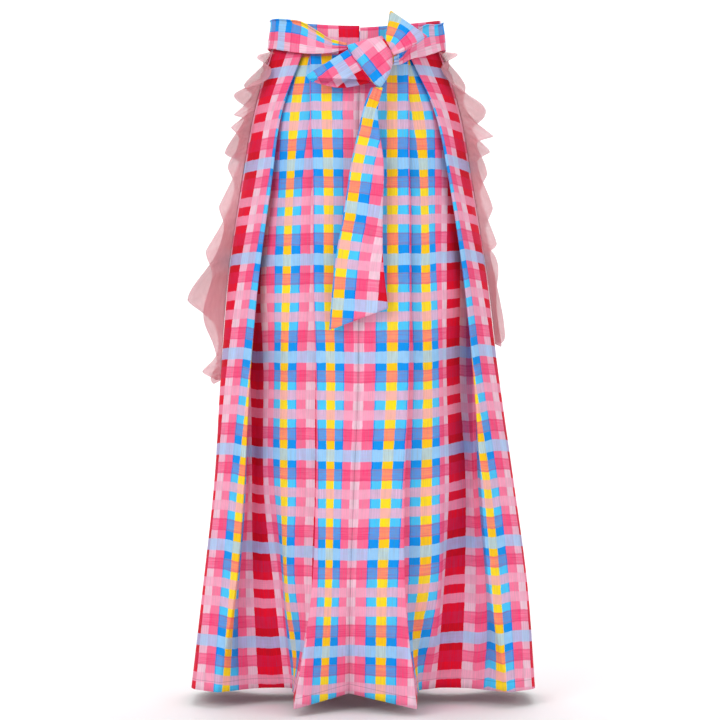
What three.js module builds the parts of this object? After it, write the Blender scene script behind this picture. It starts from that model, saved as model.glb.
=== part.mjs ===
// A maxi skirt of checked cloth on a plain figure, front towards -Y, +Z up, all sizes in millimetres.
// The origin is the middle of the waistband's opening, where the wearer's waist holds it.
import * as THREE from 'three';

// Driving sizes
const bandHeight = 40;
const bandHalfWidth = 120;
const bandHalfDepth = 91;
const bandWall = 2;
const waistDip = 21;
const closureGap = 4;
const clothWall = 1.2;
const seamGap = 0.3;
const waistSeamGap = 0.8;
const skirtLength = 918;
const halfPanelFlat = 452;
const sashWall = 2;
const sashPuff = 1.2;
const ruffleWall = 1;
const checkedPink = 0xf58bb0;
const checkedBlue = 0x58a8ea;
const netPink = 0xe3a3aa;

// Levels down the skirt at which each fold line is set out
const levels = [0, 90, 190, 330, 470, 620, 770, skirtLength];

// Sideways lean of the centre panel, of the side folds and of the side seams, one value a level
const centreLean = [3, 4, 6, 7, 8, 5, 2, -2];
const sideLean = [-2, 2, 5, 6, 7, 8, 8, 8];
const seamLean = [-2, 0, 0, 1, 4, 10, 12, 9];

// Fold lines of one front quarter, from the centre to the side seam, one value a level in each column.
// flat is the place across the uncut cloth, x the distance from the lean line, out the distance towards
// the front.
const foldLines = [
  { name: 'centre', lean: centreLean, steps: 4, flat: [0, 0, 0, 0, 0, 0, 0, 0],
    x: [1, -1, -3, -5, -6, -9, -11, -9], out: [95, 108, 121, 136, 141, 142, 137, 109] },
  { name: 'panel edge', lean: centreLean, steps: 2, bend: true, flat: [70, 70, 70, 70, 70, 72, 80, 97],
    x: [69, 69, 67, 67, 64, 61, 65, 84], out: [80, 98, 115, 132, 139, 144, 150, 158] },
  { name: 'panel tuck', lean: centreLean, steps: 2, bend: true,
    flat: [127, 119, 110, 109, 104, 105, 110, 143],
    x: [14, 21, 28, 31, 34, 36, 50, 86], out: [89, 101, 111, 126, 131, 132, 128, 110] },
  { name: 'panel inner', lean: centreLean, steps: 1, flat: [184, 168, 151, 148, 137, 138, 142, 196],
    x: [68, 69, 68, 68, 65, 63, 66, 90], out: [74, 92, 105, 121, 124, 123, 112, 66] },
  { name: 'ridge', lean: sideLean, steps: 1, flat: [186, 179, 170, 184, 184, 184, 186, 215],
    x: [70, 79, 83, 100, 105, 106, 108, 98], out: [73, 87, 99, 108, 106, 108, 100, 58] },
  { name: 'hollow', lean: sideLean, steps: 2, flat: [188, 190, 188, 205, 213, 215, 230, 240],
    x: [72, 89, 97, 115, 124, 126, 115, 105], out: [72, 82, 92, 100, 80, 82, 58, 46] },
  { name: 'side inner', lean: sideLean, steps: 1, flat: [191, 212, 225, 240, 270, 283, 283, 284],
    x: [75, 109, 124, 142, 152, 159, 156, 150], out: [70, 69, 68, 72, 42, 38, 47, 50] },
  { name: 'low layer', lean: sideLean, steps: 1, flat: [233, 248, 257, 267, 280, 291, 297, 298],
    x: [97, 121, 137, 149, 158, 161, 166, 163], out: [42, 47, 48, 46, 34, 46, 50, 59] },
  { name: 'side tuck', lean: sideLean, steps: 1, bend: true, flat: [275, 284, 289, 293, 290, 302, 310, 314],
    x: [114, 140, 152, 167, 165, 164, 176, 176], out: [14, 18, 24, 46, 40, 58, 58, 69] },
  { name: 'high layer', lean: sideLean, steps: 1, flat: [318, 320, 321, 320, 314, 317, 320, 330],
    x: [104, 132, 145, 159, 165, 166, 175, 190], out: [44, 52, 57, 70, 66, 75, 76, 81] },
  { name: 'side edge', lean: sideLean, steps: 2, bend: true, flat: [360, 356, 353, 347, 342, 332, 333, 352],
    x: [75, 109, 126, 145, 158, 167, 179, 205], out: [77, 78, 86, 95, 96, 96, 92, 89] },
  { name: 'cheek', lean: seamLean, steps: 3, flat: [404, 389, 391, 400, 384, 370, 370, 386],
    x: [109, 137, 152, 171, 184, 197, 213, 232], out: [46, 55, 60, 67, 74, 80, 78, 72] },
  { name: 'side seam', lean: seamLean, steps: 0, flat: new Array(8).fill(halfPanelFlat),
    x: [122, 149, 167, 187, 200, 214, 232, 246], out: [0, 0, 0, 0, 0, 0, 0, 0] },
];

// How much lower a fold line hangs at the hem, and how much shallower the back is than the front
const hemDrop = { centre: -2, 'panel edge': 12 };
const backFlattening = 0.96;

// A shut fold turns over a small nose: half its width, its length, and the cloth it takes up on each side.
// An open fold takes openFlank on each side, and the corners between folds are rounded over softSpread.
const bendHalfWidth = 1.4;
const bendNose = 1;
const bendFlat = 2;
const openFlank = 4;
const softSpread = 12;

// How finely each piece is divided
const rowsPerSkirt = 16;
const bandColumns = 56;
const sashColumns = 64;
const knotSides = 18;
const ruffleRows = 3;
const stepsPerTip = 6;

// The sash round the waist: full height at the sides and back, drawn in to the knot at both ends. turn is
// in degrees, from the centre front past the left side round the back to the knot's right side. off is the
// distance from the waistband, and flare is added to it towards the lower edge.
const sashRun = [
  { turn: 5.4, top: -32, bottom: -38.5, off: 31, flare: 0 },
  { turn: 16, top: -29, bottom: -50, off: 17, flare: 0 },
  { turn: 32, top: -14, bottom: -51, off: 9, flare: 5 },
  { turn: 44, top: 4, bottom: -45, off: 6, flare: 7 },
  { turn: 62, top: 16, bottom: -36, off: 4.5, flare: 8 },
  { turn: 90, top: 21, bottom: -24, off: 4.5, flare: 4 },
  { turn: 180, top: 21, bottom: -20, off: 4.5, flare: 2.5 },
  { turn: 270, top: 19, bottom: -24, off: 4.5, flare: 4 },
  { turn: 295, top: 10, bottom: -34, off: 4.5, flare: 7 },
  { turn: 312, top: -4, bottom: -46, off: 7, flare: 7 },
  { turn: 326, top: -26, bottom: -54, off: 11, flare: 4 },
  { turn: 334, top: -42, bottom: -59, off: 21, flare: 1 },
  { turn: 341.2, top: -51, bottom: -61, off: 40, flare: 0 },
];

// The bow's loop up to the right of the knot: out along the front, over its end and back behind.
// Each point is [x, out, z].
const rightLoop = {
  upper: [[38.6, 126, -24], [44, 131, -8], [47, 128, 12], [46, 118, 13], [43, 112, -6], [41, 116, -22]],
  lower: [[51, 126, -47], [72, 134, -38], [95, 128, -23], [96, 119, -22], [74, 113, -36], [54, 116, -45]],
};

// The bow's loop down to the left of the knot, its mouth open along the lower edge
const leftLoop = {
  upper: [[-12, 126, -39.5], [-40, 132, -58], [-67, 127, -74], [-67, 118, -75], [-42, 113, -60],
    [-12.4, 121, -41.5]],
  lower: [[19, 126, -83], [-18, 141, -82], [-62, 130, -80], [-63, 119, -82], [-24, 115, -91],
    [18.6, 121, -85]],
};

// The front tail, folded over at the knot and opening out to its slanted end
const frontTail = {
  left: [[20, 126.5, -92.6], [11, 127, -117], [3, 130, -150], [-8, 136, -200], [-17, 144, -262],
    [-30, 150, -338], [-38, 153, -430]],
  right: [[35.5, 127, -92.6], [29, 129, -122], [31, 132, -152], [37, 138, -200], [36, 145, -262],
    [36, 151, -330], [43, 154, -400]],
};

// The second tail, hidden behind the first one
const backTail = {
  left: [[25, 121, -93.6], [15, 121, -130], [8, 126, -190], [0, 134, -260], [-8, 142, -330],
    [-14, 146, -380]],
  right: [[34, 121, -93.6], [27, 121, -130], [29, 126, -190], [29, 134, -260], [30, 142, -325],
    [32, 146, -362]],
};

// The knot: the sash's own turn over the middle, a cushion between its left edge and its right edge,
// both [x, z]. Its middle stands knotOut in front of the waist's centre.
const knotOut = 124;
const knotRings = [
  { left: [-13, -33], right: [35, -20], depth: 3 }, { left: [-12, -38], right: [41, -28], depth: 10 },
  { left: [-7, -48], right: [47, -38], depth: 14 }, { left: [0, -58], right: [50, -51], depth: 15 },
  { left: [9, -70], right: [49, -63], depth: 14 }, { left: [18, -81], right: [45, -74], depth: 12 },
  { left: [25, -88], right: [40, -83], depth: 9 }, { left: [31, -93], right: [35, -90], depth: 4 },
];

// Ruffle tips down each side: how far the tip hangs below the waist seam and stands out from the skirt
const leftTips = [
  { down: 16, reach: 14 }, { down: 48, reach: 24 }, { down: 78, reach: 30 }, { down: 104, reach: 28 },
  { down: 130, reach: 31 }, { down: 170, reach: 36 }, { down: 232, reach: 32 }, { down: 292, reach: 40 },
  { down: 362, reach: 60 }, { down: 462, reach: 30 },
];
const rightTips = [
  { down: 12, reach: 20 }, { down: 52, reach: 30 }, { down: 92, reach: 43 }, { down: 126, reach: 42 },
  { down: 158, reach: 30 }, { down: 192, reach: 22 }, { down: 230, reach: 21 }, { down: 280, reach: 20 },
  { down: 318, reach: 19 }, { down: 410, reach: 18 },
];
const ruffleTop = 4;
const ruffleSlope = 0.75;
const ruffleSwing = THREE.MathUtils.degToRad(46);

const lerp = THREE.MathUtils.lerp;
const clamp = THREE.MathUtils.clamp;

// A smooth value between rows of a column, by Hermite pieces through the levels
function between(column, places, at) {
  const place = clamp(at, places[0], places[places.length - 1]);
  let i = 0;
  while (i < places.length - 2 && place > places[i + 1]) i += 1;
  const slope = (k) => {
    const before = Math.max(k - 1, 0);
    const after = Math.min(k + 1, places.length - 1);
    return (column[after] - column[before]) / (places[after] - places[before]);
  };
  const span = places[i + 1] - places[i];
  const t = (place - places[i]) / span;
  const t2 = t * t;
  const t3 = t2 * t;
  return (2 * t3 - 3 * t2 + 1) * column[i] + (t3 - 2 * t2 + t) * span * slope(i)
    + (3 * t2 - 2 * t3) * column[i + 1] + (t3 - t2) * span * slope(i + 1);
}

// A smooth curve through control points given as [x, out, z]
function curveThrough(points) {
  const places = points.map(([x, out, z]) => new THREE.Vector3(x, -out, z));
  return new THREE.CatmullRomCurve3(places, false, 'centripetal');
}

// The waist sits lower in front than at the sides and back
function dipAt(point) {
  const angle = Math.atan2(point.x / bandHalfWidth, -point.y / bandHalfDepth);
  return waistDip * Math.max(0, Math.cos(angle)) ** 1.5;
}

// How far a fold is shut, from 0 for cloth that runs on to 1 for cloth folded back on itself
function shutness(before, at, after) {
  const back = before.clone().sub(at).normalize();
  const on = after.clone().sub(at).normalize();
  return THREE.MathUtils.smoothstep(back.dot(on), -0.2, 0.6);
}

// One quarter's outline at a level, from the centre to the side seam. A bend turns over a small nose,
// so the cloth on its two sides stays apart.
function outlineAt(down, side, facing) {
  const points = foldLines.map((line, i) => {
    const lean = between(line.lean, levels, down);
    const x = between(line.x, levels, down);
    const out = between(line.out, levels, down) * (facing > 0 ? 1 : backFlattening);
    return new THREE.Vector2(i === 0 ? lean + x : lean + side * x, -facing * out);
  });
  const outline = [];
  foldLines.forEach((line, i) => {
    const flat = between(line.flat, levels, down);
    const drop = (facing > 0 ? hemDrop[line.name] || 0 : 0) * (down / skirtLength) ** 3;
    const [before, at, after] = [points[i - 1], points[i], points[i + 1]];
    if (!line.bend) {
      outline.push({ flat, at, drop, steps: line.steps });
      return;
    }
    const shut = shutness(before, at, after);
    const back = before.clone().sub(at).normalize();
    const on = after.clone().sub(at).normalize();
    const apart = back.clone().sub(on).normalize().multiplyScalar(bendHalfWidth);
    const inward = back.clone().add(on).normalize().multiplyScalar(bendNose);
    const flank = lerp(openFlank, bendFlat, shut);
    const first = back.clone().multiplyScalar(openFlank).lerp(inward.clone().add(apart), shut).add(at);
    const second = on.clone().multiplyScalar(openFlank).lerp(inward.clone().sub(apart), shut).add(at);
    outline.push({ flat: flat - flank, at: first, drop, steps: 1, bend: true });
    outline.push({ flat, at, drop, steps: 1, bend: true });
    outline.push({ flat: flat + flank, at: second, drop, steps: line.steps, bend: true });
  });
  return outline;
}

// The outline's point at a flat place, straight between its points
function pointOnOutline(outline, flat) {
  let i = 0;
  while (i < outline.length - 2 && flat > outline[i + 1].flat) i += 1;
  const [a, b] = [outline[i], outline[i + 1]];
  const t = clamp((flat - a.flat) / (b.flat - a.flat), 0, 1);
  return [lerp(a.at.x, b.at.x, t), lerp(a.at.y, b.at.y, t), lerp(a.drop, b.drop, t)];
}

// The cloth's middle surface at a flat place and level. Away from the bends its corners are rounded.
function skirtPoint(outline, flat, down) {
  const free = outline.filter((point) => point.bend).map((point) => Math.abs(point.flat - flat));
  const spread = Math.min(softSpread, flat, halfPanelFlat - flat, ...free);
  const shifts = [-1, -0.5, 0, 0.5, 1];
  const point = new THREE.Vector3();
  let drop = 0;
  for (const shift of shifts) {
    const [x, y, lower] = pointOnOutline(outline, flat + shift * spread);
    point.x += x / shifts.length;
    point.y += y / shifts.length;
    drop += lower / shifts.length;
  }
  const dip = dipAt(point);
  const top = -bandHeight / 2 - waistSeamGap;
  point.z = top - dip - drop - down * (1 - dip / skirtLength);
  return point;
}

// Flat places of a quarter's columns at one level: the outline's points and even steps between them
function columnFlats(outline) {
  const flats = [];
  outline.slice(0, -1).forEach((point, i) => {
    for (let k = 0; k < point.steps; k += 1) {
      flats.push(lerp(point.flat, outline[i + 1].flat, k / point.steps));
    }
  });
  flats.push(halfPanelFlat);
  return flats;
}

// Grid of middle points of one quarter of the skirt: rows down, columns from the centre to the side seam
function quarterGrid(side, facing) {
  const rows = [];
  for (let r = 0; r <= rowsPerSkirt; r += 1) {
    const down = skirtLength * r / rowsPerSkirt;
    const outline = outlineAt(down, side, facing);
    rows.push(columnFlats(outline).map((flat) => skirtPoint(outline, flat, down)));
  }
  return rows;
}

// Moves a grid's first or last column back along the cloth, for the gap at a seam
function trimColumn(rows, atStart, gap) {
  for (const row of rows) {
    const [edge, next] = atStart ? [0, 1] : [row.length - 1, row.length - 2];
    row[edge].add(row[next].clone().sub(row[edge]).setLength(gap));
  }
  return rows;
}

// A closed wall of even thickness about a grid of middle points. At a seam the wall's edge is square to
// the seam: seamAxes names the direction across it for the first and the last column.
function wallFromGrid(rows, thickness, seamAxes = []) {
  const rowCount = rows.length;
  const columnCount = rows[0].length;
  const normalAt = (r, c) => {
    const along = rows[Math.min(r + 1, rowCount - 1)][c].clone().sub(rows[Math.max(r - 1, 0)][c]);
    const across = rows[r][Math.min(c + 1, columnCount - 1)].clone().sub(rows[r][Math.max(c - 1, 0)]);
    const normal = along.cross(across);
    if (c === 0 && seamAxes[0]) normal[seamAxes[0]] = 0;
    if (c === columnCount - 1 && seamAxes[1]) normal[seamAxes[1]] = 0;
    return normal.normalize();
  };
  const positions = [];
  for (const sign of [1, -1]) {
    for (let r = 0; r < rowCount; r += 1) {
      for (let c = 0; c < columnCount; c += 1) {
        const point = rows[r][c].clone().addScaledVector(normalAt(r, c), sign * thickness / 2);
        positions.push(...point.toArray());
      }
    }
  }
  const vertex = (layer, r, c) => layer * rowCount * columnCount + r * columnCount + c;
  const index = [];
  const quad = (a, b, c, d) => index.push(a, b, c, a, c, d);
  for (let r = 0; r < rowCount - 1; r += 1) {
    for (let c = 0; c < columnCount - 1; c += 1) {
      quad(vertex(0, r, c), vertex(0, r + 1, c), vertex(0, r + 1, c + 1), vertex(0, r, c + 1));
      quad(vertex(1, r, c), vertex(1, r, c + 1), vertex(1, r + 1, c + 1), vertex(1, r + 1, c));
    }
    const last = columnCount - 1;
    quad(vertex(0, r, 0), vertex(1, r, 0), vertex(1, r + 1, 0), vertex(0, r + 1, 0));
    quad(vertex(0, r, last), vertex(0, r + 1, last), vertex(1, r + 1, last), vertex(1, r, last));
  }
  for (let c = 0; c < columnCount - 1; c += 1) {
    const last = rowCount - 1;
    quad(vertex(0, 0, c), vertex(0, 0, c + 1), vertex(1, 0, c + 1), vertex(1, 0, c));
    quad(vertex(0, last, c), vertex(1, last, c), vertex(1, last, c + 1), vertex(0, last, c + 1));
  }
  const geometry = new THREE.BufferGeometry();
  geometry.setAttribute('position', new THREE.Float32BufferAttribute(positions, 3));
  geometry.setIndex(index);
  geometry.computeVertexNormals();
  return geometry;
}

// Point on the waist's oval at an angle from the front, anticlockwise seen from above
function ovalPoint(angle, halfWidth, halfDepth, z) {
  const point = new THREE.Vector3(halfWidth * Math.sin(angle), -halfDepth * Math.cos(angle), 0);
  point.z = z - dipAt(point);
  return point;
}

// The waistband: a strip round the waist, open at the centre front
function waistbandGrid() {
  const start = Math.asin(closureGap / 2 / bandHalfWidth);
  const shift = centreLean[0] + foldLines[0].x[0];
  const rows = [];
  for (const z of [bandHeight / 2, -bandHeight / 2]) {
    const row = [];
    for (let c = 0; c <= bandColumns; c += 1) {
      const angle = lerp(start, 2 * Math.PI - start, c / bandColumns);
      const point = ovalPoint(angle, bandHalfWidth, bandHalfDepth, z);
      point.x += shift * Math.max(0, Math.cos(angle));
      row.push(point);
    }
    rows.push(row);
  }
  return rows.map((row) => row.reverse());
}

// The sash round the waist, from the left side of the knot to its right side
function sashBandGrid() {
  const turns = sashRun.map((row) => row.turn);
  const at = (name, turn) => between(sashRun.map((row) => row[name]), turns, turn);
  const grid = [[], [], []];
  for (let c = 0; c <= sashColumns; c += 1) {
    const turn = lerp(turns[0], turns[turns.length - 1], c / sashColumns);
    const angle = -THREE.MathUtils.degToRad(turn);
    grid.forEach((row, r) => {
      const share = r / (grid.length - 1);
      const size = at('off', turn) + at('flare', turn) * share ** 2 + sashPuff * Math.sin(Math.PI * share);
      row.push(new THREE.Vector3(
        (bandHalfWidth + size) * Math.sin(angle), -(bandHalfDepth + size) * Math.cos(angle),
        lerp(at('top', turn), at('bottom', turn), share)));
    });
  }
  return grid;
}

// A band of cloth between two edges, each a list of [x, out, z], crowned across its width
function bandGrid(edgeA, edgeB, rowCount, columnCount, crown) {
  const [curveA, curveB] = [curveThrough(edgeA), curveThrough(edgeB)];
  const rows = [];
  for (let r = 0; r <= rowCount; r += 1) {
    const [a, b] = [curveA.getPoint(r / rowCount), curveB.getPoint(r / rowCount)];
    const row = [];
    for (let c = 0; c <= columnCount; c += 1) {
      const point = a.clone().lerp(b, c / columnCount);
      point.y -= crown * Math.sin(Math.PI * c / columnCount);
      row.push(point);
    }
    rows.push(row);
  }
  return rows;
}

function knotGeometry() {
  const around = knotSides;
  const positions = [];
  const index = [];
  for (const ring of knotRings) {
    for (let k = 0; k < around; k += 1) {
      const angle = 2 * Math.PI * k / around;
      const share = (1 + Math.cos(angle)) / 2;
      const [x, z] = [0, 1].map((i) => lerp(ring.left[i], ring.right[i], share));
      positions.push(x, -(knotOut + ring.depth * Math.sin(angle)), z);
    }
  }
  knotRings.slice(1).forEach((ring, i) => {
    for (let k = 0; k < around; k += 1) {
      const next = (k + 1) % around;
      const [a, b] = [i * around + k, i * around + next];
      index.push(a, b + around, a + around, a, b, b + around);
    }
  });
  const last = (knotRings.length - 1) * around;
  for (let k = 1; k < around - 1; k += 1) {
    index.push(0, k + 1, k);
    index.push(last, last + k, last + k + 1);
  }
  const geometry = new THREE.BufferGeometry();
  geometry.setAttribute('position', new THREE.Float32BufferAttribute(positions, 3));
  geometry.setIndex(index);
  geometry.computeVertexNormals();
  return geometry;
}

// A gathered net ruffle down a side seam. It stands straight out at each tip and swings forward or back
// between two tips.
function ruffleGrid(tips, side) {
  const places = tips.map((tip, i) => i);
  const rows = Array.from({ length: ruffleRows + 1 }, () => []);
  for (let k = 0; k <= (tips.length - 1) * stepsPerTip; k += 1) {
    const place = k / stepsPerTip;
    const edgeDown = between(tips.map((tip) => tip.down), places, place);
    const reach = between(tips.map((tip) => tip.reach), places, place);
    const seamDown = Math.max(ruffleTop, edgeDown - reach * ruffleSlope);
    const seamX = between(foldLines[foldLines.length - 1].x, levels, seamDown) + ruffleWall;
    const root = new THREE.Vector3(
      between(seamLean, levels, seamDown) + side * seamX, 0, -bandHeight / 2 - seamDown);
    rows.forEach((row, r) => {
      const share = r / ruffleRows;
      const swing = ruffleSwing * share ** 0.5 * Math.sin(Math.PI * place);
      const droop = (edgeDown - seamDown) * share ** 1.5;
      row.push(new THREE.Vector3(
        root.x + side * reach * share * Math.cos(swing), -reach * share * Math.sin(swing), root.z - droop));
    });
  }
  return side > 0 ? rows : rows.map((row) => row.reverse());
}

// Joins two quarters at the centre into one grid, the first one turned round
function joinQuarters(left, right) {
  return left.map((row, r) => [...row.slice(1).reverse(), ...right[r]]);
}

const skirt = new THREE.Group();

function addPiece(name, geometry, color, roughness) {
  const mesh = new THREE.Mesh(geometry, new THREE.MeshStandardMaterial({ color, roughness, metalness: 0 }));
  mesh.name = name;
  skirt.add(mesh);
}

// A piece of the sash between two edges
function addSashPiece(name, edges, rowCount, columnCount, crown) {
  const [edgeA, edgeB] = Object.values(edges);
  const middle = bandGrid(edgeA, edgeB, rowCount, columnCount, crown);
  addPiece(name, wallFromGrid(middle, sashWall), checkedBlue, 0.7);
}

const halfGap = seamGap / 2;
const frontLeft = trimColumn(trimColumn(quarterGrid(-1, 1), true, halfGap), false, halfGap);
const frontRight = trimColumn(trimColumn(quarterGrid(1, 1), true, halfGap), false, halfGap);
const backRight = trimColumn(quarterGrid(1, -1), false, halfGap);
const backLeft = trimColumn(quarterGrid(-1, -1), false, halfGap);
const frontLeftTurned = frontLeft.map((row) => row.reverse());

addPiece('front_left', wallFromGrid(frontLeftTurned, clothWall, ['y', 'x']), checkedPink, 0.75);
addPiece('front_right', wallFromGrid(frontRight, clothWall, ['x', 'y']), checkedPink, 0.75);
addPiece('back', wallFromGrid(joinQuarters(backRight, backLeft), clothWall, ['y', 'y']), checkedPink, 0.75);
addPiece('waistband', wallFromGrid(waistbandGrid(), bandWall), checkedPink, 0.7);
addPiece('sash_band', wallFromGrid(sashBandGrid(), sashWall), checkedBlue, 0.7);
addPiece('sash_knot', knotGeometry(), checkedBlue, 0.7);
addSashPiece('sash_loop_right', rightLoop, 16, 5, 3);
addSashPiece('sash_loop_left', leftLoop, 16, 5, 3);
addSashPiece('sash_tail_front', frontTail, 14, 5, 3);
addSashPiece('sash_tail_back', backTail, 10, 3, 1);
addPiece('ruffle_left', wallFromGrid(ruffleGrid(leftTips, -1), ruffleWall), netPink, 0.9);
addPiece('ruffle_right', wallFromGrid(ruffleGrid(rightTips, 1), ruffleWall), netPink, 0.9);

export default skirt;
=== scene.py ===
import math

import bpy
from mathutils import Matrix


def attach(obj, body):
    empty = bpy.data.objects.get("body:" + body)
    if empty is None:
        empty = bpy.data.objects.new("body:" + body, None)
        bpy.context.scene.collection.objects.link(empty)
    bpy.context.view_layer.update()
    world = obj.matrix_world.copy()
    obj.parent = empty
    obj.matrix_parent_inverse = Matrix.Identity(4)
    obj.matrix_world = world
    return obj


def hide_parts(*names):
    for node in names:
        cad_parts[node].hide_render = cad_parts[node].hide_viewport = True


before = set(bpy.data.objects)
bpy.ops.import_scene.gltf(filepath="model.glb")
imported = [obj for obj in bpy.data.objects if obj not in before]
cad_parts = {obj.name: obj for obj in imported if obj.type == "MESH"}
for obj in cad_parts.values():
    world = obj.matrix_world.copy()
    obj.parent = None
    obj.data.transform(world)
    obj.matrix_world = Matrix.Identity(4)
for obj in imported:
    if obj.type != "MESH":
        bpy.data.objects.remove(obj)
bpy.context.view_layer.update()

# Studio: a pale seamless ground that runs up behind the skirt, four large soft lights and the camera,
# which stands level with the middle of the skirt and three metres in front of it.
bpy.ops.object.select_all(action="DESELECT")
ground_height, ground_back, ground_rise = -0.962, 3.9, 4.2
bpy.ops.mesh.primitive_plane_add(size=1, location=(0, 0, ground_height))
ground = bpy.context.object
ground.name = "ground"
bpy.ops.object.mode_set(mode="EDIT")
bpy.ops.transform.resize(value=(16, 12, 1))
bpy.ops.transform.translate(value=(0, ground_back - 6, 0))
bpy.ops.mesh.select_all(action="DESELECT")
bpy.ops.object.mode_set(mode="OBJECT")
for edge in ground.data.edges:
    edge.select = all(ground.data.vertices[v].co.y > ground_back - 0.01 for v in edge.vertices)
for vertex in ground.data.vertices:
    vertex.select = vertex.co.y > ground_back - 0.01
bpy.ops.object.mode_set(mode="EDIT")
bpy.ops.mesh.extrude_region_move(TRANSFORM_OT_translate={"value": (0, 0, ground_rise)})
bpy.ops.mesh.select_all(action="SELECT")
bpy.ops.object.mode_set(mode="OBJECT")
ground.modifiers.new("sweep", "BEVEL")
ground.modifiers["sweep"].width = 1.2
ground.modifiers["sweep"].segments = 24
ground.modifiers["sweep"].limit_method = "ANGLE"
bpy.ops.object.modifier_apply(modifier="sweep")
bpy.ops.object.shade_smooth()
bpy.ops.object.transform_apply(location=True, rotation=True, scale=True)
paper = bpy.data.materials.new("ground_paper")
paper.use_nodes = True
paper.node_tree.nodes["Principled BSDF"].inputs["Base Color"].default_value = (0.96, 0.96, 0.96, 1)
paper.node_tree.nodes["Principled BSDF"].inputs["Roughness"].default_value = 0.9
ground.data.materials.append(paper)

for name, place, aim, size, power in [
    ("key_light", (-1.7, -2.6, 1.0), (0, 0, -0.45), 1.8, 44),
    ("fill_light", (2.2, -2.4, 0.2), (0, 0, -0.5), 2.2, 22),
    ("top_light", (0.2, 0.4, 2.2), (0, 0, -0.4), 2.6, 26),
    ("backdrop_light", (0, 1.9, 2.6), (0, 3.9, 0.2), 3.0, 70),
]:
    bpy.ops.object.light_add(type="AREA", location=place)
    lamp = bpy.context.object
    lamp.name = name
    lamp.data.size = size
    lamp.data.energy = power
    lamp.rotation_euler = (
        math.atan2(math.hypot(aim[0] - place[0], aim[1] - place[1]), place[2] - aim[2]), 0,
        math.atan2(-(aim[0] - place[0]), aim[1] - place[1]))
world = bpy.data.worlds.new("studio_air")
world.use_nodes = True
world.node_tree.nodes["Background"].inputs["Color"].default_value = (1, 1, 1, 1)
world.node_tree.nodes["Background"].inputs["Strength"].default_value = 0.5
bpy.context.scene.world = world
bpy.context.scene.view_settings.view_transform = "Standard"

bpy.ops.object.camera_add(location=(0.0044, -3.0, -0.471), rotation=(math.pi / 2, 0, 0))
camera = bpy.context.object
camera.data.sensor_width = 36
camera.data.lens = 103.4
bpy.context.scene.camera = camera

# Front left panel: half of the skirt's front, printed cotton in a painterly check, 0.45 m wide when flat.
# Its top is laid in an inverted box pleat under the waistband, and it hangs open in soft folds to the hem.
levels = [0, 90, 190, 330, 470, 620, 770, 918]
centre_lean = [3, 4, 6, 7, 8, 5, 2, -2]
side_lean = [-2, 2, 5, 6, 7, 8, 8, 8]
seam_lean = [-2, 0, 0, 1, 4, 10, 12, 9]
half_flat, skirt_length, waist_top, waist_dip = 452, 918, -20.8, 21
waist_half_width, waist_half_depth = 120, 91
# At the back the cloth between the pleats rounds out to the waistband over its first twelve centimetres
round_depth, round_width, round_size = 120, 72, 1.012
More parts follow.
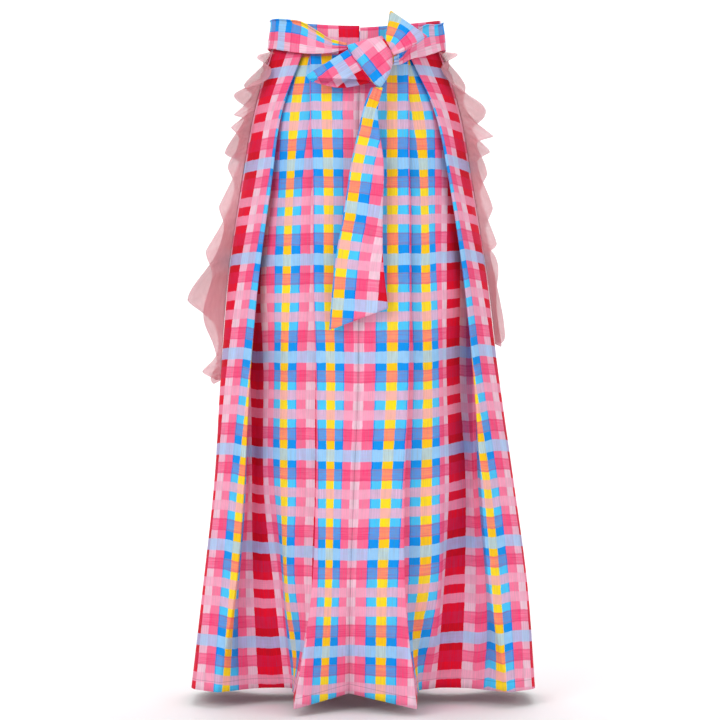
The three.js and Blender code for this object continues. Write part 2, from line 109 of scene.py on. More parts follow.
# Each line: lean, steps to the next, whether it bends, its place on the flat cloth (and how much further in
# it lies on the right half), its distance from the lean line, and its distance towards the front
fold_lines = [
    ("centre", centre_lean, 8, False, [0, 0, 0, 0, 0, 0, 0, 0], [0, 0, 0, 0, 0, 0, 0, 0],
     [1, -1, -3, -5, -6, -9, -11, -9], [95, 108, 121, 136, 141, 142, 137, 109]),
    ("panel edge", centre_lean, 5, True, [70, 70, 70, 70, 70, 72, 80, 97], [0, 0, 0, 0, 0, 0, 0, 0],
     [69, 69, 67, 67, 64, 61, 65, 84], [80, 98, 115, 132, 139, 144, 150, 158]),
    ("panel tuck", centre_lean, 5, True, [127, 119, 110, 109, 104, 105, 110, 143],
     [8, 8, 8, 8, 8, 8, 8, 8],
     [14, 21, 28, 31, 34, 36, 50, 86], [89, 101, 111, 126, 131, 132, 128, 110]),
    ("panel inner", centre_lean, 4, False, [184, 168, 151, 148, 137, 138, 142, 196],
     [6, 14, 17, 20, 26, 26, 26, 14],
     [68, 69, 68, 68, 65, 63, 66, 90], [74, 92, 105, 121, 124, 123, 112, 66]),
    ("ridge", side_lean, 5, False, [186, 179, 170, 184, 184, 184, 186, 215],
     [8, 8, 12, 16, 20, 22, 26, 20],
     [70, 79, 83, 100, 105, 106, 108, 98], [73, 87, 99, 108, 106, 108, 100, 58]),
    ("hollow", side_lean, 6, False, [188, 190, 188, 205, 213, 215, 230, 240],
     [10, 2, 12, 30, 46, 42, 20, 10],
     [72, 89, 97, 115, 124, 126, 115, 105], [72, 82, 92, 100, 80, 82, 58, 46]),
    ("side inner", side_lean, 4, False, [191, 212, 225, 240, 270, 283, 283, 284],
     [11, 5, 20, 48, 34, 16, 11, 8],
     [75, 109, 124, 142, 152, 159, 156, 150], [70, 69, 68, 72, 42, 38, 47, 50]),
    ("low layer", side_lean, 4, False, [233, 248, 257, 267, 280, 291, 297, 298],
     [2, 4, 12, 33, 29, 13, 5, 6],
     [97, 121, 137, 149, 158, 161, 166, 163], [42, 47, 48, 46, 34, 46, 50, 59]),
    ("side tuck", side_lean, 4, True, [275, 284, 289, 293, 290, 302, 310, 314],
     [0, 2, 4, 16, 26, 9, -1, 4],
     [114, 140, 152, 167, 165, 164, 176, 176], [14, 18, 24, 46, 40, 58, 58, 69]),
    ("high layer", side_lean, 4, False, [318, 320, 321, 320, 314, 317, 320, 330],
     [0, 0, 0, 2, 9, 1, -4, -2],
     [104, 132, 145, 159, 165, 166, 175, 190], [39, 43, 50, 67, 66, 75, 76, 81]),
    ("side edge", side_lean, 6, True, [360, 356, 353, 347, 342, 332, 333, 352],
     [0, 0, 0, 0, 0, -6, -8, -7],
     [75, 109, 126, 145, 158, 167, 179, 205], [77, 78, 86, 95, 96, 96, 92, 89]),
    ("cheek", seam_lean, 8, False, [415, 415, 415, 410, 400, 393, 392, 396],
     [0, 0, 0, -6, -6, -2, -2, -2],
     [115, 142, 160, 183, 198, 213, 231, 245], [36, 36, 36, 41, 50, 58, 59, 58]),
    ("side seam", seam_lean, 0, False, [452] * 8, [0] * 8,
     [122, 149, 167, 187, 200, 214, 232, 246], [0] * 8),
]
hem_drop = {"centre": -2, "panel edge": 12}
bend_half_width, bend_nose, bend_flat, open_flank, soft_spread = 1.4, 1.0, 2.0, 4.0, 12.0
panel_rows = 96


def between(column, places, at):
    """A smooth value between the rows of a column."""
    at = min(max(at, places[0]), places[-1])
    i = 0
    while i < len(places) - 2 and at > places[i + 1]:
        i += 1

    def slope(k):
        a, b = max(k - 1, 0), min(k + 1, len(places) - 1)
        return (column[b] - column[a]) / (places[b] - places[a])

    span = places[i + 1] - places[i]
    t = (at - places[i]) / span
    return ((2 * t**3 - 3 * t**2 + 1) * column[i] + (t**3 - 2 * t**2 + t) * span * slope(i)
            + (3 * t**2 - 2 * t**3) * column[i + 1] + (t**3 - t**2) * span * slope(i + 1))


def fold_outline(down, side, facing):
    """One quarter's outline at a level, in points of flat place, x, y, drop, steps and whether it bends."""
    points = []
    for i, (name, lean, steps, bend, flat, further, x, out) in enumerate(fold_lines):
        middle = between(lean, levels, down)
        across = between(x, levels, down)
        depth = between(out, levels, down) * (1 if facing > 0 else 0.96)
        points.append((middle + (across if i == 0 else side * across), -facing * depth))
    outline = []
    for i, (name, lean, steps, bend, flat, further, x, out) in enumerate(fold_lines):
        place = between(flat, levels, down)
        if side * facing > 0:
            place += between(further, levels, down)
        drop = (hem_drop.get(name, 0) if facing > 0 else 0) * (down / skirt_length) ** 3
        px, py = points[i]
        if not bend:
            outline.append((place, px, py, drop, steps, False))
            continue
        bx, by = points[i - 1][0] - px, points[i - 1][1] - py
        ox, oy = points[i + 1][0] - px, points[i + 1][1] - py
        bl, ol = math.hypot(bx, by), math.hypot(ox, oy)
        bx, by, ox, oy = bx / bl, by / bl, ox / ol, oy / ol
        t = min(max((bx * ox + by * oy + 0.2) / 0.8, 0), 1)
        shut = t * t * (3 - 2 * t)
        ax, ay = bx - ox, by - oy
        al = math.hypot(ax, ay) or 1
        ix, iy = bx + ox, by + oy
        il = math.hypot(ix, iy) or 1
        ax, ay = ax / al * bend_half_width, ay / al * bend_half_width
        ix, iy = ix / il * bend_nose, iy / il * bend_nose
        flank = open_flank + (bend_flat - open_flank) * shut
        first = (px + bx * open_flank * (1 - shut) + (ix + ax) * shut,
                 py + by * open_flank * (1 - shut) + (iy + ay) * shut)
        second = (px + ox * open_flank * (1 - shut) + (ix - ax) * shut,
                  py + oy * open_flank * (1 - shut) + (iy - ay) * shut)
        outline.append((place - flank, first[0], first[1], drop, 2, True))
        outline.append((place, px, py, drop, 2, True))
        outline.append((place + flank, second[0], second[1], drop, steps, True))
    return outline


def on_outline(outline, flat):
    i = 0
    while i < len(outline) - 2 and flat > outline[i + 1][0]:
        i += 1
    a, b = outline[i], outline[i + 1]
    t = min(max((flat - a[0]) / (b[0] - a[0]), 0), 1)
    return [a[k] + (b[k] - a[k]) * t for k in (1, 2, 3)]


def dip_at(x, y):
    """How far the waist dips at a place round it: most at the centre front, and nothing at the sides."""
    return waist_dip * max(0, math.cos(math.atan2(x / waist_half_width, -y / waist_half_depth))) ** 1.5


def cloth_place(outline, flat, down):
    """Where a place on the flat cloth hangs, in millimetres, and how far the waist dips above it."""
    spread = min([soft_spread, flat, half_flat - flat] + [abs(p[0] - flat) for p in outline if p[5]])
    total = [0, 0, 0]
    for shift in (-1, -0.5, 0, 0.5, 1):
        for k, value in enumerate(on_outline(outline, flat + shift * spread)):
            total[k] += value / 5
    x, y, drop = total
    if y > 0 and flat < round_width:
        near_waist = max(0, 1 - down / round_depth) ** 2
        waist_share = math.hypot(x / waist_half_width, y / waist_half_depth)
        y += y * near_waist * max(0, round_size / waist_share - 1)
    dip = dip_at(x, y)
    return x, y, waist_top - dip - drop - down * (1 - dip / skirt_length), dip


def panel_columns(outline):
    flats = []
    for a, b in zip(outline[:-1], outline[1:]):
        flats += [a[0] + (b[0] - a[0]) * k / a[4] for k in range(a[4])]
    return flats + [half_flat]


def panel_quarter(side, facing):
    """Rows of (place in metres, cut place in metres) for one quarter, from the centre to the side seam."""
    rows, extra, last = [], {}, {}
    probes = [half_flat * k / 24 for k in range(25)]
    for r in range(panel_rows + 1):
        down = skirt_length * r / panel_rows
        outline = fold_outline(down, side, facing)
        for probe in probes:
            x, y, z, dip = cloth_place(outline, probe, down)
            if r:
                lx, ly, lz = last[probe]
                extra[probe] += math.dist((x, y, z), (lx, ly, lz))
            else:
                extra[probe] = dip
            last[probe] = (x, y, z)
        row = []
        for flat in panel_columns(outline):
            x, y, z, dip = cloth_place(outline, flat, down)
            k = min(int(flat / half_flat * 24), 23)
            t = flat / half_flat * 24 - k
            length = extra[probes[k]] * (1 - t) + extra[probes[k + 1]] * t
            row.append(((x / 1000, y / 1000, z / 1000), (side * flat / 1000, length / 1000)))
        rows.append(row)
    return rows


def lay_cloth(name, rows):
    """A single layer of cloth from rows of (place, cut place), and each vertex's row and column.

    The cut is kept as a UV map in metres."""
    across, down = len(rows[0]) - 1, len(rows) - 1
    bpy.ops.object.select_all(action="DESELECT")
    bpy.ops.mesh.primitive_grid_add(x_subdivisions=across, y_subdivisions=down, size=2, location=(0, 0, 0))
    piece = bpy.context.object
    piece.name = name
    cut = piece.data.uv_layers[0]
    cut.name = "cut"
    homes = []
    for vertex in piece.data.vertices:
        c = round((vertex.co.x + 1) / 2 * across)
        r = round((1 - vertex.co.y) / 2 * down)
        homes.append((r, c))
        vertex.co = rows[r][c][0]
    for loop in piece.data.loops:
        r, c = homes[loop.vertex_index]
        cut.data[loop.index].uv = rows[r][c][1]
    return piece, homes


def sew_sheet(name, rows, thickness, row_gap=0):
    """A sheet of cloth with its wall. With a row gap, it also keeps how near each place is to the hem."""
    piece, homes = lay_cloth(name, rows)
    if row_gap:
        hem_depth = 0.028
        near_hem = piece.data.attributes.new("near_hem", "FLOAT", "POINT")
        for value, (r, c) in zip(near_hem.data, homes):
            value.value = max(0, 1 - (len(rows) - 1 - r) * row_gap / hem_depth)
    piece.modifiers.new("wall", "SOLIDIFY")
    piece.modifiers["wall"].thickness = thickness
    piece.modifiers["wall"].offset = 0
    piece.modifiers["wall"].use_even_offset = False
    bpy.ops.object.modifier_apply(modifier="wall")
    bpy.ops.object.shade_smooth()
    return piece


def painted_check(name):
    """Printed cotton: upright stripes of five paints under thinner cross bands, with brush marks and weave.

    The paints are mixed as they look on the cloth, and one last step turns them into light."""
    cloth = bpy.data.materials.new(name)
    cloth.use_nodes = True
    nodes, links = cloth.node_tree.nodes, cloth.node_tree.links
    shader = nodes["Principled BSDF"]

    def node(kind, **values):
        made = nodes.new(kind)
        for key, value in values.items():
            setattr(made, key, value)
        return made

    def work(kind, *values):
        made = node("ShaderNodeMath", operation=kind)
        for socket, value in zip(made.inputs, values):
            if isinstance(value, (int, float)):
                socket.default_value = value
            else:
                links.new(value, socket)
        return made.outputs[0]

    def noise(x, y, scale_x, scale_y, detail, seed):
        place = node("ShaderNodeCombineXYZ")
        links.new(work("MULTIPLY", x, scale_x), place.inputs[0])
        links.new(work("MULTIPLY", y, scale_y), place.inputs[1])
        place.inputs[2].default_value = seed
        made = node("ShaderNodeTexNoise")
        made.inputs["Scale"].default_value = 1
        made.inputs["Detail"].default_value = detail
        links.new(place.outputs[0], made.inputs["Vector"])
        return made.outputs["Fac"]

    def chart(value, widths, paints, soft=0.0):
        """Flat stripes of paint, one after another; soft is the share of the repeat over which they blend."""
        made = node("ShaderNodeValToRGB")
        made.color_ramp.interpolation = "LINEAR" if soft else "CONSTANT"
        ramp = made.color_ramp.elements
        ramp.remove(ramp[1])
        ramp[0].position = 0
        ramp[0].color = paints[0]
        start = 0
        for width, before, paint in zip(widths, paints, paints[1:]):
            start += width / sum(widths)
            if soft:
                ramp.new(start - soft / 2).color = before
            ramp.new(start + soft / 2).color = paint
        links.new(value, made.inputs["Fac"])
        return made.outputs["Color"]

    def over(below, above, amount):
        made = node("ShaderNodeMix", data_type="RGBA")
        links.new(below, made.inputs[6])
        if isinstance(above, list):
            made.inputs[7].default_value = above
        else:
            links.new(above, made.inputs[7])
        links.new(amount, made.inputs[0])
        return made.outputs[2]

    def paint(r, g, b):
        return [r / 255, g / 255, b / 255, 1]

    cut = node("ShaderNodeUVMap", uv_map="cut")
    parts = node("ShaderNodeSeparateXYZ")
    links.new(cut.outputs[0], parts.inputs[0])
    across = work("ABSOLUTE", parts.outputs[0])
    along = parts.outputs[1]
    stroke_up = noise(across, along, 1000, 26, 3, 7.7)
    stroke_cross = noise(across, along, 28, 1400, 3, 2.9)
    patch = noise(across, along, 70, 70, 2, 9.1)

    # Upright stripes, with their widths in millimetres. Each paint has a plain and a thick form, and a third
    # where the red wash crosses it.
    order = ["white", "pink", "edge", "blue", "yellow", "blue", "edge", "pink", "white", "red"]
    widths = [14.5, 15.5, 1.6, 13.4, 15, 13.4, 1.6, 16, 15, 39]
    plain = {"white": (238, 196, 212), "pink": (245, 126, 160), "blue": (84, 197, 246),
             "edge": (50, 160, 234), "yellow": (249, 217, 54), "red": (226, 24, 60)}
    thick = {"white": (236, 178, 200), "pink": (243, 114, 150), "blue": (22, 148, 234),
             "edge": (10, 118, 218), "yellow": (250, 199, 40), "red": (206, 8, 42)}
    washed = {"white": (246, 122, 156), "pink": (240, 90, 132), "blue": (98, 150, 220),
              "edge": (78, 124, 206), "yellow": (252, 142, 120), "red": (214, 36, 74)}
    wobble = work("MULTIPLY", work("SUBTRACT", noise(across, along, 60, 110, 2, 1.5), 0.5), 0.002)
    column = work("FRACT", work("DIVIDE", work("ADD", work("ADD", across, 0.007), wobble), 0.145))
    plain_stripes, thick_stripes, washed_stripes = (
        chart(column, widths, [paint(*paints[colour]) for colour in order])
        for paints in (plain, thick, washed))

    # Cross bands, with their widths in millimetres: a periwinkle band between thick paints, two red washes
    # and two pale pink bands, with plain stretches between them
    bands = [("periwinkle", 16.5), ("thick", 10.5), ("rim", 2), ("wash", 12), ("rim", 2), ("plain", 11.5),
             ("pale", 13.5), ("plain", 13), ("pale", 14), ("plain", 12), ("rim", 2), ("wash", 13), ("rim", 2),
             ("thick", 12)]
    first_band = 0.034
    sway = work("MULTIPLY", work("SUBTRACT", noise(across, along, 110, 60, 2, 4.2), 0.5), 0.002)
    level = work("FRACT", work("DIVIDE", work("SUBTRACT", work("ADD", along, sway), first_band), 0.136))
    is_periwinkle, is_thick, is_wash, is_rim, is_pale = (
        chart(level, [width for kind, width in bands],
              [[1, 1, 1, 1] if kind in wanted else [0, 0, 0, 1] for kind, width in bands],
              0.012 if "wash" in wanted else 0.006)
        for wanted in (["periwinkle"], ["thick"], ["wash", "rim"], ["rim"], ["pale"]))

    look = over(plain_stripes, thick_stripes, is_thick)
    wash_strength = work("MULTIPLY", is_wash, work("MULTIPLY_ADD", stroke_cross, 1.3, 0.30))
    look = over(look, washed_stripes, wash_strength)
    thick_stroke = work("MAXIMUM", work("SUBTRACT", stroke_cross, 0.54), 0)
    streak = work("MULTIPLY", is_wash, work("MULTIPLY", thick_stroke, 2.0))
    look = over(look, paint(206, 44, 96), work("MAXIMUM", streak, work("MULTIPLY", is_rim, 0.22)))
    pale_strength = work("MULTIPLY", is_pale, work("MULTIPLY_ADD", stroke_cross, 0.3, 0.66))
    look = over(look, paint(241, 170, 195), pale_strength)
    cover = work("MULTIPLY", is_periwinkle, work("MULTIPLY_ADD", stroke_cross, 0.3, 0.66))
    look = over(look, paint(166, 200, 240), cover)
    brush = node("ShaderNodeHueSaturation")
    links.new(look, brush.inputs["Color"])
    near_seam = work("LESS_THAN", across, 0.0007)
    hem = node("ShaderNodeAttribute", attribute_name="near_hem").outputs["Fac"]
    hem_line = work("LESS_THAN", work("ABSOLUTE", work("SUBTRACT", hem, 0.5)), 0.02)
    line = work("MAXIMUM", near_seam, hem_line)
    marks = work("ADD", work("MULTIPLY", work("SUBTRACT", stroke_up, 0.5), 0.36),
                 work("MULTIPLY", work("SUBTRACT", patch, 0.5), 0.08))
    links.new(work("MULTIPLY_ADD", line, -0.12, work("ADD", marks, 1.0)), brush.inputs["Value"])
    richness = work("ADD", work("MULTIPLY", work("SUBTRACT", stroke_up, 0.5), 0.7), 1.05)
    links.new(richness, brush.inputs["Saturation"])
    to_light = node("ShaderNodeGamma")
    to_light.inputs["Gamma"].default_value = 2.2
    links.new(brush.outputs[0], to_light.inputs["Color"])
    links.new(to_light.outputs[0], shader.inputs["Base Color"])

    # The weave: fine plain threads both ways, and a little unevenness, raised by bump alone
    warp_thread = work("SINE", work("MULTIPLY", parts.outputs[0], 9000))
    weft_thread = work("SINE", work("MULTIPLY", along, 9000))
    uneven = work("MULTIPLY", noise(across, along, 120, 120, 4, 5.5), 2.5)
    bump = node("ShaderNodeBump")
    bump.inputs["Strength"].default_value = 0.14
    bump.inputs["Distance"].default_value = 0.0003
    links.new(work("MULTIPLY_ADD", warp_thread, weft_thread, uneven), bump.inputs["Height"])
    links.new(bump.outputs[0], shader.inputs["Normal"])
    shader.inputs["Roughness"].default_value = 0.72
    shader.inputs["Sheen Weight"].default_value = 0.03
    shader.inputs["Sheen Roughness"].default_value = 0.5
    shader.inputs["Specular IOR Level"].default_value = 0.15
    return cloth


check_cloth = painted_check("check_cloth")
cloth_wall = 0.0009
row_gap = skirt_length / panel_rows / 1000
left_rows = [list(reversed(row)) for row in panel_quarter(-1, 1)]
front_left = sew_sheet("front_left_panel", left_rows, cloth_wall, row_gap)
front_left.data.materials.append(check_cloth)
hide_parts("front_left")
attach(front_left, "root")

# Front right panel: the other half of the front, cut as a mirror of the first so that the check meets at
# the centre seam, where a concealed fastening is sewn in.
front_right = sew_sheet("front_right_panel", panel_quarter(1, 1), cloth_wall, row_gap)
front_right.data.materials.append(check_cloth)
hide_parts("front_right")
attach(front_right, "root")

# Back panel: one wide piece of the same cotton, pleated as the front is and sewn to it down both sides.
back_right, back_left = panel_quarter(1, -1), panel_quarter(-1, -1)
back_rows = [list(reversed(right)) + left[1:] for right, left in zip(back_right, back_left)]
back = sew_sheet("back_panel", back_rows, cloth_wall, row_gap)
back.data.materials.append(check_cloth)
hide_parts("back")
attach(back, "root")

# Waistband: a straight strip of the same cotton, doubled over a firm lining, which stands round the waist.
# Its ends leave a narrow slit at the centre front, where one lies a little lower than the other at the top,
# and its check meets at the centre back.
band_height, closure_gap, band_wall = 40, 0.8, 0.002
closure_shift, end_step, end_step_turn, back_nudge = 4, 2.5, 0.5, 0.001
right_cut_start, left_cut_end, upper_cut_level = 0.142, 0.564, 0.072
half_steps = 90
rows = [[] for step in range(9)]
band_start = math.asin(closure_gap / 2 / waist_half_width)
band_turns = [band_start + (math.pi - band_start) * c / half_steps for c in range(half_steps + 1)]
band_turns += [2 * math.pi - turn for turn in reversed(band_turns)]
band_turns[half_steps + 1] += back_nudge
band_length = 0
for c, angle in enumerate(band_turns):
    x = waist_half_width * math.sin(angle)
    y = -waist_half_depth * math.cos(angle)
    dip = dip_at(x, y)
    end_drop = end_step * max(0, 1 - angle / end_step_turn)
    x += closure_shift * max(0, math.cos(angle))
    if c:
        band_length += math.dist((x, y), last)
    last = (x, y)
    for step, row in enumerate(rows):
        down = band_height * step / 8
        height = 20 - down - dip - end_drop * (1 - step / 8)
        row.append(((x / 1000, y / 1000, height / 1000), (band_length / 1000, down / 1000)))
rows = [[(place, (right_cut_start + s if c <= half_steps else left_cut_end - (band_length / 1000 - s),
                  upper_cut_level + down))
         for c, (place, (s, down)) in enumerate(row)] for row in rows]
waistband = sew_sheet("waistband_strip", [list(reversed(row)) for row in rows], band_wall)
waistband.data.materials.append(check_cloth)
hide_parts("waistband")
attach(waistband, "root")

# Sash: a long doubled band of the same cotton. It lies full height at the sides and back, rolls over at its
# upper edge in front, and is drawn together in creases towards the knot.
# Each row: turn round the waist in degrees, top, bottom, distance outside the waistband, flare
sash_run = [
    (5.4, -32, -38.5, 31, 0), (16, -22, -41, 17, 0), (26, -7, -41, 11.5, 3), (37.7, 7.5, -38, 8, 5),
    (50, 13, -33, 5.5, 6), (62, 17, -28, 4.5, 6), (90, 21, -21, 4.5, 4), (120, 21, -25, 4.5, 3.5),
    (180, 21, -26, 4.5, 3.5), (240, 21, -25, 4.5, 3.5), (270, 19, -23, 4.5, 4), (295, 9, -30, 4.5, 7),
    (312, 4, -40, 7, 7), (326, -18, -48, 11, 4), (334, -40, -56, 21, 1), (341.2, -51, -61, 40, 0),
]
sash_wall = 0.0016
crease_reach, crease_depth, crease_count = 34, 2.2, 2.5
roll_share, roll_rise, roll_out = 1 / 9, 2.2, 2.0
# On the cut: where the part below the roll starts and how deep it is, how far the roll turns back on the
# left front, and where the band's length starts
face_cut, face_depth, roll_cut, face_share, length_cut = 0.054, 0.046, 0.014, 0.17, 0.064
roll_ends, roll_fade = 48, 10
turns = [row[0] for row in sash_run]
rows = [[] for step in range(19)]
length, last = 0, None
for c in range(241):
    turn = turns[0] + (turns[-1] - turns[0]) * c / 240
    top, bottom, off, flare = (between([row[k] for row in sash_run], turns, turn) for k in (1, 2, 3, 4))
    angle = -math.radians(turn)
    middle = (math.sin(angle) * (waist_half_width + off), -math.cos(angle) * (waist_half_depth + off))
    if last:
        length += math.dist(middle, last)
    last = middle
    near_knot = max(0, 1 - min(turn - turns[0], turns[-1] - turn) / crease_reach)
    turned_back = roll_cut * min(max((roll_ends - turn) / roll_fade, 0), 1)
    for step, row in enumerate(rows):
        share = step / 18
        size = off + flare * share**2 + 1.2 * math.sin(math.pi * share)
        crease = near_knot * crease_depth * math.sin(2 * math.pi * (crease_count * share + 0.1))
        size += crease * math.sin(math.pi * share) + 0.5 * math.sin(turn / 9 + 5 * share)
        roll = max(0, 1 - share / roll_share)
        height = top + (bottom - top) * max(share, 0.09 * roll)
        height += roll_rise * math.sin(math.pi * roll / 2)
        size += roll_out * roll
        if share > face_share:
            cut_across = face_cut + face_depth * (share - face_share) / (1 - face_share)
        else:
            cut_across = face_cut - turned_back * (1 - share / face_share)
        x = (waist_half_width + size) * math.sin(angle)
        y = -(waist_half_depth + size) * math.cos(angle)
        row.append(((x / 1000, y / 1000, height / 1000), (cut_across, length / 1000 + length_cut)))
sash = sew_sheet("sash_round_waist", rows, sash_wall)
sash.data.materials.append(check_cloth)
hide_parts("sash_band")
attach(sash, "root")

# Bow: the sash's two loops. Each is the doubled band brought out from the knot, over at its end and back
# behind, with creases that run out from the knot and fade towards the end of the loop.
right_loop = (
    [(38.6, 126, -24), (44, 131, -8), (47, 128, 12), (46, 118, 13), (43, 112, -6), (41, 116, -22)],
    [(51, 126, -47), (72, 134, -38), (95, 128, -23), (96, 119, -22), (74, 113, -36), (54, 116, -45)])
left_loop = (
    [(-12, 126, -39.5), (-40, 132, -58), (-67, 127, -74), (-67, 118, -75), (-42, 113, -60),
     (-12.4, 121, -41.5)],
    [(19, 126, -83), (-18, 141, -82), (-62, 130, -80), (-63, 119, -82), (-24, 115, -91), (18.6, 121, -85)])


def smooth_line(points, at):
    """A point on a smooth line through points, at a share of the way along it."""
    lengths = [0]
    for a, b in zip(points, points[1:]):
        lengths.append(lengths[-1] + math.dist(a, b) ** 0.5)
    return [between([p[k] for p in points], lengths, at * lengths[-1]) for k in range(3)]


def band_rows(edge_a, edge_b, steps, across, crown, creases, cut_at):
    """Rows of cloth between two edges: crowned across, with creases given as (place, depth) along it."""
    rows, length, last = [], 0, None
    for r in range(steps + 1):
        at = r / steps
        a, b = smooth_line(edge_a, at), smooth_line(edge_b, at)
        ahead, behind = smooth_line(edge_a, min(at + 0.01, 1)), smooth_line(edge_a, max(at - 0.01, 0))
        heading = [(p - q) / math.dist(ahead, behind) for p, q in zip(ahead, behind)]
        if last:
            length += math.dist(a, last)
        last = a
        depth = between([c[1] for c in creases], [c[0] for c in creases], at)
        row = []
        for c in range(across + 1):
            share = c / across
            x, out, z = (p + (q - p) * share for p, q in zip(a, b))
            place = (x, out, z)
            out += crown * math.sin(math.pi * share)
            out += depth * math.sin(2 * math.pi * (2.2 * share + 0.15)) * math.sin(math.pi * share) ** 0.5
            row.append(((x / 1000, -out / 1000, z / 1000), cut_at(place, a, heading, length)))
        rows.append(row)
    return rows


def right_loop_cut(place, edge, heading, length):
    """The right loop's check fans out from the lower left of the loop."""
    dx, dz = place[0] - 38.3, place[2] + 49.2
    return (34 + 0.75 * math.degrees(math.atan2(dx, dz))) / 1000, (117.5 - 1.366 * math.hypot(dx, dz)) / 1000


def left_loop_cut(place, edge, heading, length):
    """The left loop's check runs straight along it."""
    dx, dz = place[0] + 13.6, place[2] + 45.7
    return (61 + 1.3 * (0.555 * dx - 0.832 * dz)) / 1000, (161 - 0.832 * dx - 0.555 * dz) / 1000


loop_creases = [(0, 2.4), (0.25, 1.2), (0.5, 0.2), (0.75, 1.2), (1, 2.4)]
for name, node_name, (edge_a, edge_b), cut_at in [
    ("bow_loop_right", "sash_loop_right", right_loop, right_loop_cut),
    ("bow_loop_left", "sash_loop_left", left_loop, left_loop_cut),
]:
    rows = band_rows(edge_a, edge_b, 60, 22, 3, loop_creases, cut_at)
    loop = sew_sheet(name, rows, sash_wall)
    loop.data.materials.append(check_cloth)
    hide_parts(node_name)
    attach(loop, "root")

# Knot: the sash's own turn over the middle of the bow, a smooth cushion of cloth with a crimson fold down
# its right edge and creases that gather towards its lower tip.
# Each ring: its left end and right end (across, height), and how far it stands out between them
knot_rings = [
    ((-13, -33), (35, -20), 3), ((-12, -38), (41, -28), 10), ((-7, -48), (47, -38), 14),
    ((0, -58), (50, -51), 15), ((9, -70), (49, -63), 14), ((18, -81), (45, -74), 12),
    ((25, -88), (40, -83), 9), ((31, -93), (35, -90), 4)]
ring_places = list(range(len(knot_rings)))
knot_out, knot_steps = 124, 48


def knot_cut(place):
    """The knot's check lies slanted across it, turned about the knot's middle."""
    dx, dz = place[0] + 0.0124, place[2] + 0.0405
    return 0.054 + 0.775 * dx + 0.63 * dz, 0.109 + 1.05 * (0.63 * dx - 0.775 * dz)


rows = []
for r in range(knot_steps + 1):
    at = ring_places[-1] * r / knot_steps
    lx, lz, rx, rz = (
        between([ring[i][k] for ring in knot_rings], ring_places, at) for i in (0, 1) for k in (0, 1))
    depth = between([ring[2] for ring in knot_rings], ring_places, at)
    row = []
    for c in range(knot_steps + 1):
        angle = 2 * math.pi * c / knot_steps
        share = (1 - math.cos(angle)) / 2
        out = depth * math.sin(angle)
        out *= 1 + 0.10 * math.sin(2 * math.pi * (2.3 * share + 0.2)) * min(1, at / 3)
        place = ((lx + (rx - lx) * share) / 1000, -(knot_out + out) / 1000, (lz + (rz - lz) * share) / 1000)
        row.append((place, knot_cut(place)))
    rows.append(row)
knot, homes = lay_cloth("bow_knot", rows)
bpy.ops.object.mode_set(mode="EDIT")
bpy.ops.mesh.select_all(action="SELECT")
bpy.ops.mesh.remove_doubles(threshold=0.00002)
bpy.ops.mesh.select_all(action="DESELECT")
bpy.ops.mesh.select_non_manifold()
bpy.ops.mesh.edge_face_add()
bpy.ops.mesh.select_all(action="SELECT")
bpy.ops.mesh.normals_make_consistent(inside=False)
bpy.ops.object.mode_set(mode="OBJECT")
bpy.ops.object.shade_smooth()
knot.data.materials.append(check_cloth)
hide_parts("sash_knot")
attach(knot, "root")

# Sash ends: the doubled band hangs from the knot, narrow and folded there and wider to its slanted end. The
# second end hangs behind the first.
front_tail = (
    [(20, 126.5, -92.6), (11, 127, -117), (3, 130, -150), (-8, 136, -200), (-17, 144, -262), (-30, 150, -338),
     (-38, 153, -430)],
    [(35.5, 127, -92.6), (29, 129, -122), (31, 132, -152), (37, 138, -200), (36, 145, -262), (36, 151, -330),
     (43, 154, -400)])
back_tail = (
    [(25, 121, -93.6), (15, 121, -130), (8, 126, -190), (0, 134, -260), (-8, 142, -330), (-14, 146, -380)],
    [(34, 121, -93.6), (27, 121, -130), (29, 126, -190), (29, 134, -260), (30, 142, -325), (32, 146, -362)])


def end_cut(place, edge, heading, length):
    """The check follows the left edge of an end, and is cut away at its right."""
    gone = [p - q for p, q in zip(place, edge)]
    ahead = sum(g * h for g, h in zip(gone, heading))
    across = math.sqrt(max(0, sum(g * g for g in gone) - ahead * ahead))
    return (36 + across) / 1000, (6.65 + length + ahead) / 1000


for name, node_name, (edge_a, edge_b), crown, width, area in [
    ("sash_end_front", "sash_tail_front", front_tail, 3, 0.075, 0.0165),
    ("sash_end_back", "sash_tail_back", back_tail, 1, 0.06, 0.0078),
]:
    rows = band_rows(edge_a, edge_b, 90, 20, crown, [(0, 1.5), (0.3, 0.8), (1, 0.2)], end_cut)
    end = sew_sheet(name, rows, sash_wall)
    end.data.materials.append(check_cloth)
    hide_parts(node_name)
    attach(end, "root")

# Ruffles: strips of soft dusty pink net, folded along the middle into two layers and gathered into the side
# seams. Their free edges swing forward and back in a cascade of pointed folds, and light comes through them.
net = bpy.data.materials.new("dusty_net")
net.use_nodes = True
nodes, links = net.node_tree.nodes, net.node_tree.links
shader = nodes["Principled BSDF"]
mesh_place = nodes.new("ShaderNodeUVMap")
mesh_place.uv_map = "cut"
cloudy = nodes.new("ShaderNodeTexNoise")
cloudy.inputs["Scale"].default_value = 90
cloudy.inputs["Detail"].default_value = 4
links.new(mesh_place.outputs[0], cloudy.inputs["Vector"])
tint = nodes.new("ShaderNodeValToRGB")
tint.color_ramp.elements[0].color = (0.68, 0.26, 0.31, 1)
tint.color_ramp.elements[1].color = (0.80, 0.36, 0.41, 1)
links.new(cloudy.outputs["Fac"], tint.inputs["Fac"])
links.new(tint.outputs["Color"], shader.inputs["Base Color"])
thin = nodes.new("ShaderNodeMapRange")
thin.inputs["To Min"].default_value = 0.42
thin.inputs["To Max"].default_value = 0.52
links.new(cloudy.outputs["Fac"], thin.inputs["Value"])
links.new(thin.outputs[0], shader.inputs["Alpha"])
shader.inputs["Roughness"].default_value = 0.85
shader.inputs["Sheen Weight"].default_value = 0.3
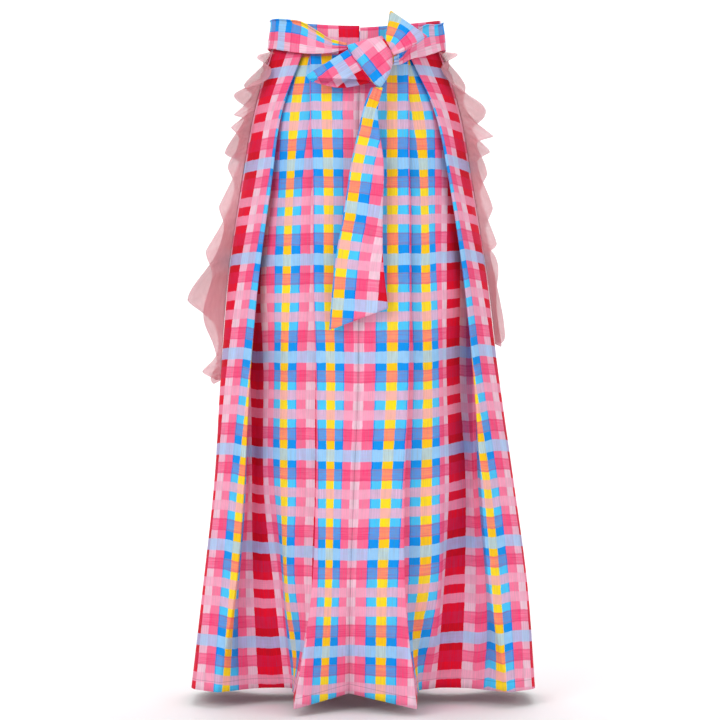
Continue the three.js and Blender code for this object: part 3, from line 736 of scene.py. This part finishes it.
# Each tip: how far down the seam it lies, and how far out it reaches
left_tips = [(12, 16), (54, 28), (74, 35), (97, 31), (115, 31), (152, 33), (174, 24), (229, 28), (293, 38),
             (365, 57), (430, 12), (468, 26), (486, 8)]
right_tips = [(10, 22), (54, 22), (97, 40), (128, 45), (151, 34), (183, 24), (232, 24), (283, 21), (316, 18),
              (417, 15), (432, 6)]
net_wall, half_strip, strip_per_tip, tip_steps, layer_rows = 0.0004, 0.06, 0.045, 40, 12
# The strip is sewn in just in front of the side seam, and further forward at its upper end. In degrees, the
# folds swing forward and back by one angle, and the first one turns right over the front
seam_down_start, seam_clear, root_forward, upper_forward, upper_tips = 8, 1.0, 12, 16, 1.6
fold_swing, first_swing, ripple_swing, ripples_per_tip = 58, 106, 10, 2.5
cheek, seam = fold_lines[11], fold_lines[12]
for name, node_name, side, tips in [
    ("ruffle_cascade_left", "ruffle_left", -1, left_tips),
    ("ruffle_cascade_right", "ruffle_right", 1, right_tips),
]:
    places = list(range(len(tips)))
    rows = [[] for r in range(2 * layer_rows + 1)]
    for k in range((len(tips) - 1) * tip_steps + 1):
        place = k / tip_steps
        for r, row in enumerate(rows):
            layer, share = (0, 1 - r / layer_rows) if r < layer_rows else (1, r / layer_rows - 1)
            wave = (place + layer) / 2
            past = wave - math.floor(wave)
            eased = 2 * (math.floor(wave) + (0.6 * past if past < 0.5 else 0.3 + 1.4 * (past - 0.5))) - layer
            edge_down = between([tip[0] for tip in tips], places, eased)
            reach = between([tip[1] for tip in tips], places, eased) + 2
            reach *= 1 - 0.26 * abs(math.sin(math.pi * wave))
            if place < 2 and layer == 0:
                reach *= 1 + 1.1 * math.sin(math.pi * wave)
            root_down = between([tip[0] for tip in tips], places, place) - 0.6 * between(
                [tip[1] for tip in tips], places, place)
            seam_down = max(seam_down_start, min(root_down, edge_down))
            forward = root_forward + upper_forward * max(0, 1 - place / upper_tips) ** 2
            seam_x = between(seam[6], levels, seam_down)
            cheek_x, cheek_out = (between(cheek[k], levels, seam_down) for k in (6, 7))
            root_x = between(seam_lean, levels, seam_down) + side * (
                seam_x + seam_clear - (seam_x - cheek_x) / cheek_out * forward)
            swing = math.sin(math.pi * wave)
            swing *= first_swing if place < 2 and swing > 0 else fold_swing
            swing += ripple_swing * math.sin(2 * math.pi * place * ripples_per_tip) * (1 - share)
            swing = math.radians(swing * share**0.3)
            row.append(((
                (root_x + side * reach * share * math.cos(swing)) / 1000,
                -(forward + reach * share * math.sin(swing)) / 1000,
                (-20 - seam_down - (edge_down - seam_down) * share**1.2) / 1000),
                (place * strip_per_tip, (r / layer_rows - 1) * half_strip)))
    if side < 0:
        rows = [list(reversed(row)) for row in rows]
    ruffle = sew_sheet(name, rows, net_wall)
    ruffle.data.materials.append(net)
    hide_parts(node_name)
    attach(ruffle, "root")
